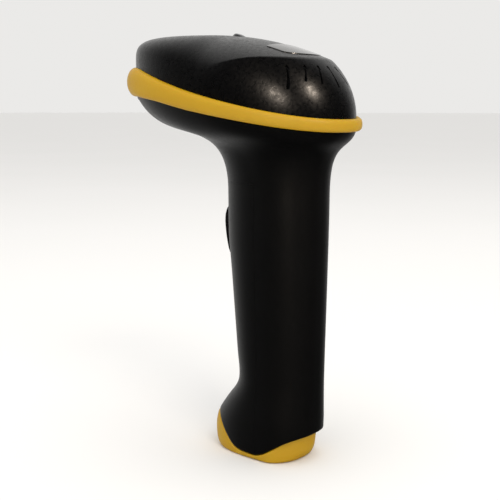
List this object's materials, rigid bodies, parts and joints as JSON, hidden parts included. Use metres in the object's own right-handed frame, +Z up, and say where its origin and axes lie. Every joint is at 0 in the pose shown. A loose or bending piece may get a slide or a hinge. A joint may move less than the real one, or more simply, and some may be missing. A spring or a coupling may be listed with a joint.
{
  "type": "handheld barcode scanner",
  "caption": "Cordless pistol-grip barcode scanner with a domed head, a bumper band round it, a finger trigger and a flat charging butt.",
  "frame": {"origin": "middle of the handle's flat butt face, which it stands on, under the crossing of its mirror plane and the handle", "axes": "+Z up along the handle, -Y the way the scan window looks, +X to the scanner's left side"},
  "size_m": [0.07, 0.103, 0.1817],
  "materials": {
    "black_abs": "spark-textured ABS",
    "grip_abs": "fine matt ABS",
    "yellow_tpe": "satin moulded elastomer",
    "trigger_abs": "smooth ABS",
    "clear_pc": "polished polycarbonate",
    "lens_glass": "coated",
    "label_gloss": "gloss film",
    "foam": "closed-cell foam",
    "engine_casting": "black casting",
    "board": "solder mask",
    "chip": "moulded epoxy",
    "steel": "plain",
    "gold_contact": "plated",
    "ribbon": "polyimide film",
    "cell_sleeve": "shrink sleeve",
    "nylon": "moulded nylon"
  },
  "bodies": {
    "casing": {"top_cover": "black_abs", "lower_body": "black_abs", "window_bezel": "black_abs", "grip_front": "grip_abs", "bumper_band": "yellow_tpe", "butt_boot": "yellow_tpe", "scan_window": "clear_pc", "light_pipe": "clear_pc", "status_led": "clear_pc", "camera_lens": "lens_glass", "aimer_lens": "lens_glass", "lamp_lens_left": "lens_glass", "lamp_lens_right": "lens_glass", "label_plate": "label_gloss", "window_gasket": "foam", "beeper_gasket": "foam", "engine_housing": "engine_casting", "engine_board": "board", "main_board": "board", "switch_board": "board", "charge_board": "board", "decoder_chip": "chip", "beeper": "chip", "trigger_switch": "chip", "contact_block": "chip", "radio_module": "steel", "engine_bracket": "steel", "trigger_pin": "steel", "trigger_spring": "steel", "cell_contact_spring": "steel", "boot_screw": "steel", "grip_screw_1": "steel", "grip_screw_2": "steel", "head_screw_1": "steel", "head_screw_2": "steel", "cell_contact_top": "gold_contact", "charge_contact_1": "gold_contact", "charge_contact_2": "gold_contact", "charge_contact_3": "gold_contact", "charge_contact_4": "gold_contact", "handle_ribbon": "ribbon", "battery_cell": "cell_sleeve", "battery_cradle": "nylon"},
    "trigger": {"trigger": "trigger_abs"},
    "plunger": {"switch_plunger": "trigger_abs"}
  },
  "joints": [
    {"name": "trigger_pull", "type": "hinge", "parent": "casing", "child": "trigger", "pos_m": [0, -0.016, 0.114], "axis": [1, 0, 0], "range_deg": [0, 5], "stiffness_Nm_per_rad": 0.17, "springref_deg": -11.46},
    {"name": "plunger_press", "type": "slide", "parent": "casing", "child": "plunger", "axis": [0, 1, 0], "range_m": [0, 0.0014]}
  ],
  "couplings": [
    {"joint": "plunger_press", "follows": "trigger_pull", "m_per_rad": 0.015}
  ]
}
